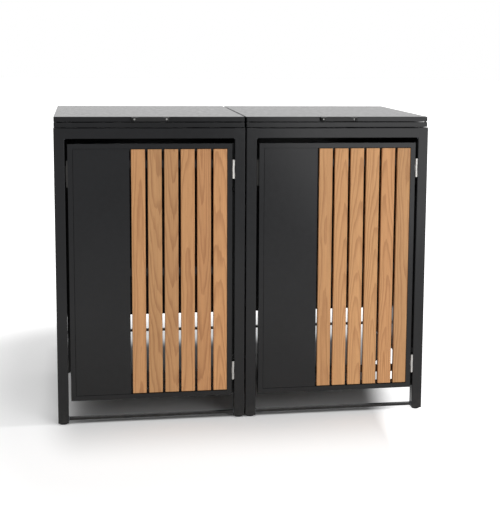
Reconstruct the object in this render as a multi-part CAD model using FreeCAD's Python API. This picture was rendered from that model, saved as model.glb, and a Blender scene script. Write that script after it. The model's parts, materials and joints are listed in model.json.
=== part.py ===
import FreeCAD, Part
import math
import os

# Double wheelie bin store: two steel modules side by side, each with a
# front door of sheet panel and timber slats, and a lid hinged at the rear.
# Millimetres, +Z up, front towards -Y, origin at the bottom centre of the
# bounding box, hinge barrels and handles included.

Vector = FreeCAD.Vector

# Overall sizes
module_names = ("left_module", "right_module")
module_width = 716.0
module_depth = 760.0
module_gap = 5.0
frame_top = 1138.0

# How far a cutting shape reaches past the face that it cuts
overcut = 1.0

# Square tube of the frame
tube = 40.0
tube_wall = 2.0
tube_radius = 3.0

# Plastic glides in the post ends: flange, round foot and plug
glide_height = 8.0
glide_flange_height = 1.5
glide_inset = 1.0
glide_foot_radius = 15.5
glide_foot_rounding = 3.0
glide_plug_length = 15.0
glide_plug_clearance = 0.1

# Flat bars near the floor, under the side panels and behind the bins
tie_width = 20.0
tie_height = 10.0
tie_wall = 1.5
front_tie_bottom = 15.0
side_tie_bottom = 154.0
stop_rail_bottom = 178.0

# Side and rear panels of folded sheet
sheet = 1.5
panel_flange = 20.0
panel_recess = 2.0
side_panel_bottom = 165.0
rear_panel_bottom = 255.0

# Blind rivets that hold the panels
rivet_shank_radius = 2.0
rivet_head_radius = 4.0
rivet_head_height = 1.5
rivet_tail_radius = 2.8
rivet_tail_length = 3.0
rivet_rows = 3
rivet_end_distance = 60.0
hole_clearance = 0.05

# Top ring, spacers under it and buffers above it
ring_height = 17.5
ring_wall = 2.0
ring_setback = 10.0
ring_side_inset = 1.0
spacer_height = 2.5
spacer_radius = 8.0
spacer_edge = 20.0
buffer_radius = 5.0
buffer_edge = 7.0
rest_clearance = 0.3

# Lid
lid_gap = 4.0
lid_edge = 18.0
lid_lip = 12.0
lid_corner_radius = 3.0
lid_bend_radius = 1.4
lid_open_angle = 78.0

# Bridge handle on the lid edge
handle_length = 142.0
handle_pitch = 120.0
handle_height = 15.0
handle_reach = 25.0
handle_bar_depth = 8.0
handle_foot_length = 23.0
handle_corner_radius = 7.0
handle_inner_radius = 4.0
handle_edge_radius = 1.5
handle_screw_radius = 2.5
handle_counterbore_radius = 4.5
handle_counterbore_depth = 16.0

# Door
door_side_gap = 10.0
door_top_gap = 19.0
door_bottom = 94.0
door_member = 18.0
door_depth = 25.0
door_tube_wall = 1.5
door_member_radius = 1.5
door_face_recess = 2.0
door_drain_radius = 3.0
door_drain_distance = 54.0
slat_count = 6
slat_width = 52.3
slat_gap = 9.9
slat_thickness = 18.0
slat_side_gap = 0.5
slat_end_gap = 3.0
slat_edge_radius = 2.0
door_panel_clearance = 1.0
door_panel_to_slat = 7.0
batten_height = 30.0
batten_thickness = 3.0
batten_count = 3
batten_end_distance = 60.0
door_stop_width = 12.0
screw_shank_radius = 2.0
screw_head_radius = 4.0
screw_head_height = 1.8
screw_depth = 12.0
screw_offset = 8.0

# Butt hinges: one pattern for doors and lids
hinge_barrel_radius = 4.5
hinge_pin_radius = 2.5
hinge_running_clearance = 0.05
hinge_leaf_thickness = 2.0
hinge_knuckle_gap = 0.4
hinge_leaf_offset = door_side_gap / 2.0
hinge_pin_head_radius = 3.6
hinge_pin_head_height = 1.2
door_hinge_length = 70.0
door_hinge_leaf = 23.0
door_hinge_end_distance = 98.0
door_hinge_forward = 1.0
lid_hinge_length = 80.0
lid_hinge_leaf = 15.0
lid_hinge_end_distance = 120.0

# Magnetic catch: strike plate behind the door stile, magnet on the front post
strike_height = 100.0
strike_width = 20.0
strike_thickness = 2.0
strike_overhang = 6.0
strike_top_distance = 65.0
magnet_height = 60.0
magnet_width = 22.0
magnet_depth = 12.0

# Gas struts: one at each side of every lid
strut_side_distance = 13.0
strut_lower_forward = 122.0
strut_lower_drop = 140.0
strut_upper_forward = 60.0
strut_upper_drop = 6.0
strut_cylinder_radius = 7.5
strut_cylinder_wall = 1.2
strut_cylinder_length = 100.0
strut_cylinder_start = 11.0
strut_cylinder_bottom = 4.0
strut_neck_radius = 3.5
strut_guide_length = 8.0
strut_rod_radius = 3.0
strut_rod_length = 130.0
strut_piston_length = 8.0
strut_piston_clearance = 0.1
strut_running_clearance = 0.05
strut_eye_radius = 7.0
strut_eye_width = 8.0
strut_pin_overhang = 1.0
strut_stud_radius = 4.0
strut_stud_collar_radius = 7.0
strut_stud_head_radius = 6.0
strut_stud_head_height = 2.0
strut_bracket_thickness = 4.0
strut_bracket_width = 36.0
strut_open_clearance = 2.0
strut_tab_thickness = 3.0
strut_tab_width = 22.0

# Bolts and spacer washers between the modules
bolt_radius = 4.0
bolt_head_radius = 6.5
bolt_head_height = 4.5
bolt_heights = (240.0, 900.0)
bolt_inset = 8.0
washer_radius = 10.0

# Derived places
total_width = len(module_names) * module_width + (len(module_names) - 1) * module_gap
lid_hinge_rear = hinge_leaf_offset + hinge_barrel_radius
front_reach = handle_reach - ring_setback
front_y = -(module_depth + lid_hinge_rear - front_reach) / 2.0
rear_y = front_y + module_depth
rail_bottom = frame_top - tube
ring_bottom = frame_top + spacer_height
ring_top = ring_bottom + ring_height
lid_bottom = ring_top + lid_gap
lid_top = lid_bottom + lid_edge
door_top = rail_bottom - door_top_gap
lid_axis_y = rear_y + hinge_leaf_offset
lid_axis_z = ring_top + lid_gap / 2.0
door_axis_y = front_y - door_hinge_forward
slat_field = slat_count * slat_width + (slat_count - 1) * slat_gap


def module_left(index):
    return -total_width / 2.0 + index * (module_width + module_gap)


def block(low, high):
    size = [high[i] - low[i] for i in range(3)]
    return Part.makeBox(size[0], size[1], size[2], Vector(*low))


def edges_along(shape, direction):
    """Straight edges of the shape that run along a direction."""
    found = []
    for edge in shape.Edges:
        run = edge.Vertexes[-1].Point.sub(edge.Vertexes[0].Point)
        if run.Length > 1e-6 and abs(abs(run.normalize().dot(direction)) - 1.0) < 1e-6:
            found.append(edge)
    return found


def rounded_block(low, high, direction, radius):
    solid = block(low, high)
    return solid.makeFillet(radius, edges_along(solid, direction))


def hollow_tube(low, high, axis, wall, radius, cap_low=0.0, cap_high=0.0):
    """Rectangular tube along an axis index, with optional end caps."""
    direction = Vector(*[1.0 if i == axis else 0.0 for i in range(3)])
    outer = rounded_block(low, high, direction, radius)
    inner_low = [low[i] + wall for i in range(3)]
    inner_high = [high[i] - wall for i in range(3)]
    inner_low[axis] = low[axis] + cap_low if cap_low else low[axis] - overcut
    inner_high[axis] = high[axis] - cap_high if cap_high else high[axis] + overcut
    return outer.cut(block(inner_low, inner_high))


def rod(start, direction, radius, length):
    return Part.makeCylinder(radius, length, Vector(*start), Vector(*direction))


def mirror_in_module(shape, x_left):
    centre = Vector(x_left + module_width / 2.0, 0, 0)
    return shape.mirror(centre, Vector(1, 0, 0))


def fused(shapes):
    return shapes[0].multiFuse(shapes[1:]).removeSplitter()


def save(name, solids):
    """Write one node; loose solids become a compound."""
    shape = solids[0] if len(solids) == 1 else Part.makeCompound(solids)
    for solid in shape.Solids:
        if not solid.isValid():
            raise RuntimeError("invalid solid in " + name)
    shape.exportStep(os.path.join("parts", name + ".step"))
    print(name, len(shape.Solids), "solids", round(shape.Volume / 1000.0, 1), "cm3")


# Strut geometry, seen from the side
def strut_lower_pivot():
    return (lid_axis_y - strut_lower_forward, lid_axis_z - strut_lower_drop)


def strut_upper_pivot(angle=0.0):
    """Upper pivot with the lid turned up by an angle in degrees."""
    turn = math.radians(angle)
    forward = strut_upper_forward * math.cos(turn) + strut_upper_drop * math.sin(turn)
    up = strut_upper_forward * math.sin(turn) - strut_upper_drop * math.cos(turn)
    return (lid_axis_y - forward, lid_axis_z + up)


def strut_line(angle=0.0):
    """Length and direction of the strut from its lower to its upper pivot."""
    lower = strut_lower_pivot()
    upper = strut_upper_pivot(angle)
    run = (upper[0] - lower[0], upper[1] - lower[1])
    length = math.hypot(run[0], run[1])
    return length, (0.0, run[0] / length, run[1] / length)


# Panel rivets: each is (head face point, direction into the post)
def rivet_heights(bottom):
    low = bottom + rivet_end_distance
    high = rail_bottom - rivet_end_distance
    return [low + i * (high - low) / (rivet_rows - 1) for i in range(rivet_rows)]


def side_rivets(x_left):
    x = x_left + panel_recess + panel_flange / 2.0
    places = []
    for z in rivet_heights(side_panel_bottom):
        places.append(((x, front_y + tube + sheet, z), (0, -1, 0)))
        places.append(((x, rear_y - tube - sheet, z), (0, 1, 0)))
    return places


def rear_rivets(x_left):
    y = rear_y - panel_recess - panel_flange / 2.0
    places = []
    for z in rivet_heights(rear_panel_bottom):
        places.append(((x_left + tube + sheet, y, z), (-1, 0, 0)))
    return places


def rivet(place):
    start, direction = Vector(*place[0]), Vector(*place[1])
    grip = sheet + tube_wall
    head = Part.makeCylinder(rivet_head_radius, rivet_head_height, start, direction.negative())
    shank = Part.makeCylinder(rivet_shank_radius, grip, start, direction)
    tail_start = start.add(direction * grip)
    tail = Part.makeCylinder(rivet_tail_radius, rivet_tail_length, tail_start, direction)
    return fused([head, shank, tail])


def rivet_hole(place):
    start, direction = Vector(*place[0]), Vector(*place[1])
    length = sheet + tube_wall + 2.0 * overcut
    radius = rivet_shank_radius + hole_clearance
    return Part.makeCylinder(radius, length, start.sub(direction * overcut), direction)


# Frame members
def bolt_rows():
    return [(front_y + tube - bolt_inset, z) for z in bolt_heights] + \
        [(rear_y - tube + bolt_inset, z) for z in bolt_heights]


def bolt_hole(x_left, x_right, y, z):
    return rod((x_left, y, z), (1, 0, 0), bolt_radius + hole_clearance, x_right - x_left)


def strut_bracket(x_face):
    """Plate under the top rail with the stud for a strut's lower eye."""
    y, z = strut_lower_pivot()
    half = strut_bracket_width / 2.0
    plate = block((x_face, y - half, z), (x_face + strut_bracket_thickness, y + half, frame_top))
    nose = rod((x_face, y, z), (1, 0, 0), half, strut_bracket_thickness)
    eye_near = x_face + strut_side_distance - strut_eye_width / 2.0 - rest_clearance
    eye_far = x_face + strut_side_distance + strut_eye_width / 2.0 + rest_clearance
    collar = rod((x_face, y, z), (1, 0, 0), strut_stud_collar_radius, eye_near - x_face)
    stud = rod((x_face, y, z), (1, 0, 0), strut_stud_radius, eye_far - x_face)
    head = rod((eye_far, y, z), (1, 0, 0), strut_stud_head_radius, strut_stud_head_height)
    return fused([plate, nose, collar, stud, head])


def post_heads(x_left, y_face, y_inner):
    """Square corners of a post's head, where the rails meet it flush."""
    x_right = x_left + tube
    corners = []
    for x, y in ((x_right, y_face), (x_left, y_inner)):
        towards_x = tube_radius if x == x_left else -tube_radius
        towards_y = tube_radius if y < (y_face + y_inner) / 2.0 else -tube_radius
        low = (min(x, x + towards_x), min(y, y + towards_y), rail_bottom)
        high = (max(x, x + towards_x), max(y, y + towards_y), frame_top)
        corners.append(block(low, high))
    return corners


def left_side_frame(x_left):
    """Front and rear post, top rail and lower tie, welded together."""
    x_right = x_left + tube
    front = hollow_tube((x_left, front_y, glide_height), (x_right, front_y + tube, frame_top),
                        2, tube_wall, tube_radius, cap_high=tube_wall)
    rear = hollow_tube((x_left, rear_y - tube, glide_height), (x_right, rear_y, frame_top),
                       2, tube_wall, tube_radius, cap_high=tube_wall)
    rail = hollow_tube((x_left, front_y + tube, rail_bottom), (x_right, rear_y - tube, frame_top),
                       1, tube_wall, tube_radius)
    tie_left = x_left + (tube - tie_width) / 2.0
    tie = hollow_tube((tie_left, front_y + tube, side_tie_bottom),
                      (tie_left + tie_width, rear_y - tube, side_tie_bottom + tie_height),
                      1, tie_wall, tie_wall)
    frame = fused([front, rear, rail, tie, strut_bracket(x_right)] +
                  post_heads(x_left, front_y, front_y + tube) +
                  post_heads(x_left, rear_y, rear_y - tube))
    for place in side_rivets(x_left) + rear_rivets(x_left):
        frame = frame.cut(rivet_hole(place))
    return frame


def drilled_for_bolts(frame, x_left):
    for y, z in bolt_rows():
        frame = frame.cut(bolt_hole(x_left - overcut, x_left + tube + overcut, y, z))
    return frame


def cross_rail(x_left, y_low):
    low = (x_left + tube, y_low, rail_bottom)
    high = (x_left + module_width - tube, y_low + tube, frame_top)
    return hollow_tube(low, high, 0, tube_wall, tube_radius)


def cross_tie(x_left, y_low, z_low):
    low = (x_left + tube, y_low, z_low)
    high = (x_left + module_width - tube, y_low + tie_width, z_low + tie_height)
    return hollow_tube(low, high, 0, tie_wall, tie_wall)


def left_side_panel(x_left):
    """Tray of folded sheet between the posts, its open side inwards."""
    x = x_left + panel_recess
    low = (x, front_y + tube, side_panel_bottom)
    high = (x + panel_flange, rear_y - tube, rail_bottom)
    inner = block((low[0] + sheet, low[1] + sheet, low[2] + sheet),
                  (high[0] + overcut, high[1] - sheet, high[2] - sheet))
    panel = block(low, high).cut(inner)
    for place in side_rivets(x_left):
        panel = panel.cut(rivet_hole(place))
    return panel


def rear_panel(x_left):
    y = rear_y - panel_recess
    low = (x_left + tube, y - panel_flange, rear_panel_bottom)
    high = (x_left + module_width - tube, y, rail_bottom)
    inner = block((low[0] + sheet, low[1] - overcut, low[2] + sheet),
                  (high[0] - sheet, high[1] - sheet, high[2] - sheet))
    panel = block(low, high).cut(inner)
    for place in rear_rivets(x_left):
        hole = rivet_hole(place)
        panel = panel.cut(hole).cut(mirror_in_module(hole, x_left))
    return panel


def foot_glides(x_left):
    """Round feet with a square flange and a plug in each of the four posts."""
    glides = []
    bore = tube - 2.0 * tube_wall
    plug_inset = tube_wall + glide_plug_clearance
    for x in (x_left, x_left + module_width - tube):
        for y in (front_y, rear_y - tube):
            foot_height = glide_height - glide_flange_height
            foot = rod((x + tube / 2.0, y + tube / 2.0, 0.0), (0, 0, 1),
                       glide_foot_radius, foot_height)
            bottom = [e for e in foot.Edges if abs(e.BoundBox.ZMax) < 1e-6]
            foot = foot.makeFillet(glide_foot_rounding, bottom)
            flange = rounded_block((x + glide_inset, y + glide_inset, foot_height),
                                   (x + tube - glide_inset, y + tube - glide_inset, glide_height),
                                   Vector(0, 0, 1), tube_radius)
            plug = block((x + plug_inset, y + plug_inset, glide_height),
                         (x + plug_inset + bore - 2.0 * glide_plug_clearance,
                          y + plug_inset + bore - 2.0 * glide_plug_clearance,
                          glide_height + glide_plug_length))
            glides.append(fused([foot, flange, plug]))
    return glides


# Top ring
def ring_bounds(x_left):
    low = (x_left + ring_side_inset, front_y + ring_setback)
    high = (x_left + module_width - ring_side_inset, rear_y)
    return low, high


def top_ring(x_left):
    """Channel ring, open inwards, round the loading opening."""
    low, high = ring_bounds(x_left)
    outer = rounded_block((low[0], low[1], ring_bottom), (high[0], high[1], ring_top),
                          Vector(0, 0, 1), tube_radius)
    opening = block((x_left + tube, front_y + tube, ring_bottom - overcut),
                    (x_left + module_width - tube, rear_y - tube, ring_top + overcut))
    channel = block((low[0] + ring_wall, low[1] + ring_wall, ring_bottom + ring_wall),
                    (high[0] - ring_wall, high[1] - ring_wall, ring_top - ring_wall))
    return outer.cut(opening).cut(channel)


def ring_spacers(x_left):
    xs = (x_left + spacer_edge, x_left + module_width / 2.0, x_left + module_width - spacer_edge)
    front = front_y + (ring_setback + tube) / 2.0
    ys = (front, (front_y + rear_y) / 2.0, rear_y - spacer_edge)
    places = [(x, y) for x in xs for y in ys if not (x == xs[1] and y == ys[1])]
    return [rod((x, y, frame_top), (0, 0, 1), spacer_radius, spacer_height) for x, y in places]


def lid_buffers(x_left):
    low, high = ring_bounds(x_left)
    height = lid_gap - rest_clearance
    buffers = []
    for x in (low[0] + buffer_edge, high[0] - buffer_edge):
        for y in (low[1] + buffer_edge, high[1] - buffer_edge):
            buffers.append(rod((x, y, ring_top), (0, 0, 1), buffer_radius, height))
    return buffers


# Hinges, in their own frame: axis along Z, centred on the origin
def hinge_knuckles(length):
    """Three knuckles: the outer two are fixed, the middle one turns."""
    knuckle = (length - 2.0 * hinge_knuckle_gap) / 3.0
    step = knuckle + hinge_knuckle_gap
    low = -length / 2.0
    return [(low + i * step, low + i * step + knuckle) for i in range(3)]


def hinge_leaf(length, leaf, plate_side, plate_run, turning):
    """Leaf with its plate at +X or -X of the axis, running along +Y or -Y."""
    knuckles = hinge_knuckles(length)
    own = knuckles[1:2] if turning else [knuckles[0], knuckles[2]]
    other = [knuckles[0], knuckles[2]] if turning else knuckles[1:2]
    far = plate_side * hinge_leaf_offset
    near = plate_side * (hinge_leaf_offset - hinge_leaf_thickness)
    end = plate_run * leaf
    shape = block((min(far, near), min(0.0, end), -length / 2.0),
                  (max(far, near), max(0.0, end), length / 2.0))
    clear_radius = hinge_barrel_radius + hinge_knuckle_gap
    for low, high in other:
        z = low - hinge_knuckle_gap
        span = high - low + 2.0 * hinge_knuckle_gap
        shape = shape.cut(rod((0, 0, z), (0, 0, 1), clear_radius, span))
        corner = block((min(far, near), min(0.0, plate_run * clear_radius), z),
                       (max(far, near), max(0.0, plate_run * clear_radius), z + span))
        shape = shape.cut(corner)
    barrels = [rod((0, 0, low), (0, 0, 1), hinge_barrel_radius, high - low) for low, high in own]
    shape = fused([shape] + barrels)
    bore = hinge_pin_radius + hinge_running_clearance
    return shape.cut(rod((0, 0, -length), (0, 0, 1), bore, 2.0 * length))


def hinge_pin(length):
    shank = rod((0, 0, -length / 2.0), (0, 0, 1), hinge_pin_radius, length)
    top = rod((0, 0, length / 2.0), (0, 0, 1), hinge_pin_head_radius, hinge_pin_head_height)
    bottom = rod((0, 0, -length / 2.0), (0, 0, -1), hinge_pin_head_radius, hinge_pin_head_height)
    return fused([shank, top, bottom])


def door_axis_x(x_left):
    return x_left + module_width - tube - door_side_gap / 2.0


def at_door_hinges(shape, x_left):
    """Copies of a hinge piece at the two hinges of a door."""
    copies = []
    for z in (door_bottom + door_hinge_end_distance, door_top - door_hinge_end_distance):
        copy = shape.copy()
        copy.translate(Vector(door_axis_x(x_left), door_axis_y, z))
        copies.append(copy)
    return copies


def at_lid_hinges(shape, x_left):
    """Copies at the two lid hinges: +X of the hinge turns forwards, +Y down."""
    placed = shape.copy()
    placed.rotate(Vector(0, 0, 0), Vector(0, 1, 0), 90.0)
    placed.rotate(Vector(0, 0, 0), Vector(1, 0, 0), -90.0)
    copies = []
    for x in (x_left + lid_hinge_end_distance, x_left + module_width - lid_hinge_end_distance):
        copy = placed.copy()
        copy.translate(Vector(x, lid_axis_y, lid_axis_z))
        copies.append(copy)
    return copies


# Door
def door_bounds(x_left):
    low = x_left + tube + door_side_gap
    high = x_left + module_width - tube - door_side_gap
    return low, high


def batten_heights():
    low = door_bottom + door_member + batten_end_distance
    high = door_top - door_member - batten_end_distance
    return [low + i * (high - low) / (batten_count - 1) for i in range(batten_count)]


def slat_left(x_left, index):
    field_right = door_bounds(x_left)[1] - door_member - slat_side_gap
    return field_right - slat_field + index * (slat_width + slat_gap)


def slat_screw_places(x_left, index):
    x = slat_left(x_left, index) + slat_width / 2.0
    places = []
    for step, z in enumerate(batten_heights()):
        side = screw_offset if step % 2 else -screw_offset
        places.append((x, z + side))
    return places


def door_frame(x_left):
    """Welded frame of small tube, with a flat stop and battens at its back."""
    low, high = door_bounds(x_left)
    rear = front_y + door_depth
    outer = rounded_block((low, front_y, door_bottom), (high, rear, door_top),
                          Vector(0, 1, 0), door_member_radius)
    opening = block((low + door_member, front_y - overcut, door_bottom + door_member),
                    (high - door_member, rear + overcut, door_top - door_member))
    frame = outer.cut(opening)
    wall = door_tube_wall
    void_outer = block((low + wall, front_y + wall, door_bottom + wall),
                       (high - wall, rear - wall, door_top - wall))
    void_inner = block((low + door_member - wall, front_y, door_bottom + door_member - wall),
                       (high - door_member + wall, rear, door_top - door_member + wall))
    frame = frame.cut(void_outer.cut(void_inner))
    batten_front = front_y + door_face_recess + slat_thickness
    battens = []
    for z in batten_heights():
        battens.append(block((low + door_member, batten_front, z - batten_height / 2.0),
                             (high - door_member, batten_front + batten_thickness,
                              z + batten_height / 2.0)))
    stop_low = (low + door_member, batten_front, door_bottom + door_member)
    stop_high = (high - door_member, batten_front + batten_thickness, door_top - door_member)
    stop = block(stop_low, stop_high).cut(
        block((stop_low[0] + door_stop_width, batten_front, stop_low[2] + door_stop_width),
              (stop_high[0] - door_stop_width, stop_high[1], stop_high[2] - door_stop_width)))
    frame = fused([frame, stop] + battens)
    for x in (low + door_drain_distance, high - door_drain_distance):
        drain = rod((x, front_y + door_depth / 2.0, door_bottom - overcut), (0, 0, 1),
                    door_drain_radius, wall + 2.0 * overcut)
        frame = frame.cut(drain)
    for index in range(slat_count):
        for x, z in slat_screw_places(x_left, index):
            frame = frame.cut(rod((x, batten_front - overcut, z), (0, 1, 0),
                                  screw_shank_radius + hole_clearance,
                                  batten_thickness + 2.0 * overcut))
    return frame


def door_panel(x_left):
    """Folded sheet panel in the hinge-free part of the door."""
    low_x = door_bounds(x_left)[0] + door_member + door_panel_clearance
    high_x = slat_left(x_left, 0) - door_panel_to_slat
    low_z = door_bottom + door_member + door_panel_clearance
    high_z = door_top - door_member - door_panel_clearance
    front = front_y + door_face_recess
    back = front + slat_thickness
    tray = rounded_block((low_x, front, low_z), (high_x, back, high_z), Vector(0, 0, 1),
                         sheet / 2.0)
    hollow = block((low_x + sheet, front + sheet, low_z + sheet),
                   (high_x - sheet, back + overcut, high_z - sheet))
    return tray.cut(hollow)


def slat(x_left, index):
    x = slat_left(x_left, index)
    front = front_y + door_face_recess
    low = (x, front, door_bottom + door_member + slat_end_gap)
    high = (x + slat_width, front + slat_thickness, door_top - door_member - slat_end_gap)
    shape = rounded_block(low, high, Vector(0, 0, 1), slat_edge_radius)
    for hole_x, z in slat_screw_places(x_left, index):
        shape = shape.cut(rod((hole_x, high[1] - screw_depth, z), (0, 1, 0),
                              screw_shank_radius + hole_clearance, screw_depth + overcut))
    return shape


def slat_screws(x_left):
    back = front_y + door_face_recess + slat_thickness + batten_thickness
    screws = []
    for index in range(slat_count):
        for x, z in slat_screw_places(x_left, index):
            shank = rod((x, back, z), (0, -1, 0), screw_shank_radius,
                        batten_thickness + screw_depth - rest_clearance)
            head = rod((x, back, z), (0, 1, 0), screw_head_radius, screw_head_height)
            screws.append(fused([shank, head]))
    return screws


def strike_middle():
    return door_top - strike_top_distance - strike_height / 2.0


def strike_plate(x_left):
    x = door_bounds(x_left)[0] - strike_overhang
    y = front_y + door_depth
    half = strike_height / 2.0
    return block((x, y, strike_middle() - half),
                 (x + strike_width, y + strike_thickness, strike_middle() + half))


def magnetic_catch(x_left):
    """Magnet housing on the front post, just behind the strike plate."""
    x = x_left + tube
    y = front_y + door_depth + strike_thickness + rest_clearance
    half = magnet_height / 2.0
    return block((x, y, strike_middle() - half),
                 (x + magnet_width, y + magnet_depth, strike_middle() + half))


# Lid
def lid_tray(x_left):
    """Shallow sheet tray, open downwards, with a returned lip and strut tabs."""
    low, high = ring_bounds(x_left)
    outer = rounded_block((low[0], low[1], lid_bottom), (high[0], high[1], lid_top),
                          Vector(0, 0, 1), lid_corner_radius)
    top_edges = [e for e in outer.Edges if abs(e.BoundBox.ZMin - lid_top) < 1e-6]
    outer = outer.makeFillet(lid_bend_radius, top_edges)
    hollow = block((low[0] + sheet, low[1] + sheet, lid_bottom + sheet),
                   (high[0] - sheet, high[1] - sheet, lid_top - sheet))
    mouth = block((low[0] + lid_lip, low[1] + lid_lip, lid_bottom - overcut),
                  (high[0] - lid_lip, high[1] - lid_lip, lid_bottom + sheet + overcut))
    tab = strut_tab(x_left)
    return fused([outer.cut(hollow).cut(mouth), tab, mirror_in_module(tab, x_left)])


def strut_tab(x_left):
    """Welded tab beside the upper eye of a strut."""
    y, z = strut_upper_pivot()
    x = x_left + tube + strut_side_distance + strut_eye_width / 2.0 + strut_open_clearance
    low = (x, y - strut_tab_width / 2.0, z)
    high = (x + strut_tab_thickness, y + strut_tab_width / 2.0, lid_top - sheet)
    plate = block(low, high)
    nose = rod((x, y, z), (1, 0, 0), strut_eye_radius, strut_tab_thickness)
    return fused([plate, nose])


def lid_handle(x_left):
    """Moulded bridge handle with a counterbored screw hole in each foot."""
    centre = x_left + module_width / 2.0
    face = front_y + ring_setback
    front = face - handle_reach
    middle = (lid_bottom + lid_top) / 2.0
    half_length = handle_length / 2.0
    half_height = handle_height / 2.0
    upright = Vector(0, 0, 1)
    body = block((centre - half_length, front, middle - half_height),
                 (centre + half_length, face, middle + half_height))
    corners = [e for e in edges_along(body, upright) if e.BoundBox.YMax < face - overcut]
    body = body.makeFillet(handle_corner_radius, corners)
    rims = [e for e in body.Edges if e.BoundBox.ZLength < 1e-6 and e.BoundBox.YMin < face - 1e-6]
    body = body.makeFillet(handle_edge_radius, rims)
    half_grip = half_length - handle_foot_length
    grip = block((centre - half_grip, front + handle_bar_depth, middle - handle_height),
                 (centre + half_grip, face + overcut, middle + handle_height))
    inner = [e for e in edges_along(grip, upright) if e.BoundBox.YMax < face]
    body = body.cut(grip.makeFillet(handle_inner_radius, inner))
    for side in (-1.0, 1.0):
        start = (centre + side * handle_pitch / 2.0, front - overcut, middle)
        body = body.cut(rod(start, (0, 1, 0), handle_screw_radius, handle_reach + 2.0 * overcut))
        body = body.cut(rod(start, (0, 1, 0), handle_counterbore_radius,
                            handle_counterbore_depth + overcut))
    return body


# Gas struts
def strut_cylinder(x_left):
    """Left strut's pressure tube with its lower eye and rod guide."""
    x = x_left + tube + strut_side_distance
    y, z = strut_lower_pivot()
    axis = strut_line()[1]

    def along(distance):
        return (x, y + axis[1] * distance, z + axis[2] * distance)

    eye_start = (x - strut_eye_width / 2.0, y, z)
    eye = rod(eye_start, (1, 0, 0), strut_eye_radius, strut_eye_width)
    neck = rod(along(0.0), axis, strut_neck_radius, strut_cylinder_start + overcut)
    body = rod(along(strut_cylinder_start), axis, strut_cylinder_radius, strut_cylinder_length)
    shape = fused([eye, neck, body])
    bore = strut_cylinder_radius - strut_cylinder_wall
    bore_length = strut_cylinder_length - strut_cylinder_bottom - strut_guide_length
    start = strut_cylinder_start + strut_cylinder_bottom
    shape = shape.cut(rod(along(start), axis, bore, bore_length))
    guide = strut_rod_radius + strut_running_clearance
    shape = shape.cut(rod(along(start + overcut), axis, guide, strut_cylinder_length))
    eye_bore = strut_stud_radius + strut_running_clearance
    return shape.cut(rod((eye_start[0] - overcut, y, z), (1, 0, 0), eye_bore,
                         strut_eye_width + 2.0 * overcut))


def strut_rod(x_left):
    """Left strut's rod with its piston and upper eye."""
    x = x_left + tube + strut_side_distance
    y, z = strut_upper_pivot()
    axis = strut_line()[1]
    down = (0.0, -axis[1], -axis[2])
    eye = rod((x - strut_eye_width / 2.0, y, z), (1, 0, 0), strut_eye_radius, strut_eye_width)
    shank = rod((x, y, z), down, strut_rod_radius, strut_rod_length)
    piston_start = strut_rod_length - strut_piston_length
    piston_radius = strut_cylinder_radius - strut_cylinder_wall - strut_piston_clearance
    piston = rod((x, y + down[1] * piston_start, z + down[2] * piston_start), down,
                 piston_radius, strut_piston_length)
    pin = rod((x - strut_eye_width / 2.0 - strut_pin_overhang, y, z), (1, 0, 0),
              strut_stud_radius, strut_eye_width + 2.0 * strut_pin_overhang)
    return fused([eye, shank, piston, pin])


# Bolts between the modules
def joining_bolts():
    """Bolt, nut and spacer washer at each bolt place."""
    left_face = module_left(1) - module_gap - tube
    right_face = module_left(1) + tube
    pieces = []
    for y, z in bolt_rows():
        shank = rod((left_face, y, z), (1, 0, 0), bolt_radius,
                    right_face - left_face + bolt_head_height)
        head = rod((left_face, y, z), (-1, 0, 0), bolt_head_radius, bolt_head_height)
        pieces.append(fused([shank, head]))
        nut = rod((right_face, y, z), (1, 0, 0), bolt_head_radius, bolt_head_height)
        hole = bolt_hole(left_face, right_face + 2.0 * bolt_head_height, y, z)
        pieces.append(nut.cut(hole))
        washer = rod((module_left(1) - module_gap, y, z), (1, 0, 0), washer_radius, module_gap)
        pieces.append(washer.cut(hole))
    return pieces


def build_module(index):
    x_left = module_left(index)
    name = module_names[index] + "_"

    def both_sides(shape):
        return [shape, mirror_in_module(shape, x_left)]

    left_frame = left_side_frame(x_left)
    right_frame = mirror_in_module(left_frame, x_left)
    if index > 0:
        left_frame = drilled_for_bolts(left_frame, x_left)
    if index < len(module_names) - 1:
        right_frame = drilled_for_bolts(right_frame, x_left + module_width - tube)
    save(name + "left_side_frame", [left_frame])
    save(name + "right_side_frame", [right_frame])
    save(name + "header_rail", [cross_rail(x_left, front_y)])
    save(name + "rear_top_rail", [cross_rail(x_left, rear_y - tube)])
    tie_inset = (tube - tie_width) / 2.0
    save(name + "front_tie_bar", [cross_tie(x_left, front_y + tie_inset, front_tie_bottom)])
    stop_y = rear_y - tube + tie_inset
    save(name + "rear_stop_rail", [cross_tie(x_left, stop_y, stop_rail_bottom)])
    panels = both_sides(left_side_panel(x_left))
    save(name + "left_side_panel", panels[:1])
    save(name + "right_side_panel", panels[1:])
    save(name + "rear_panel", [rear_panel(x_left)])
    save(name + "top_ring", [top_ring(x_left)])
    save(name + "door_frame", [door_frame(x_left)])
    save(name + "door_panel", [door_panel(x_left)])
    for number in range(slat_count):
        save(name + "door_slat_" + str(number + 1), [slat(x_left, number)])
    save(name + "slat_screws", slat_screws(x_left))
    door_leaf = hinge_leaf(door_hinge_length, door_hinge_leaf, -1, 1, True)
    save(name + "door_fittings", at_door_hinges(door_leaf, x_left) + [strike_plate(x_left)])
    save(name + "lid_tray", [lid_tray(x_left)])
    save(name + "lid_handle", [lid_handle(x_left)])
    lid_leaf = hinge_leaf(lid_hinge_length, lid_hinge_leaf, 1, -1, True)
    save(name + "lid_hinge_leaves", at_lid_hinges(lid_leaf, x_left))
    save(name + "strut_cylinders", both_sides(strut_cylinder(x_left)))
    save(name + "strut_rods", both_sides(strut_rod(x_left)))


def gather(make):
    """Pieces of one kind from every module."""
    pieces = []
    for index in range(len(module_names)):
        pieces.extend(make(module_left(index)))
    return pieces


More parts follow.
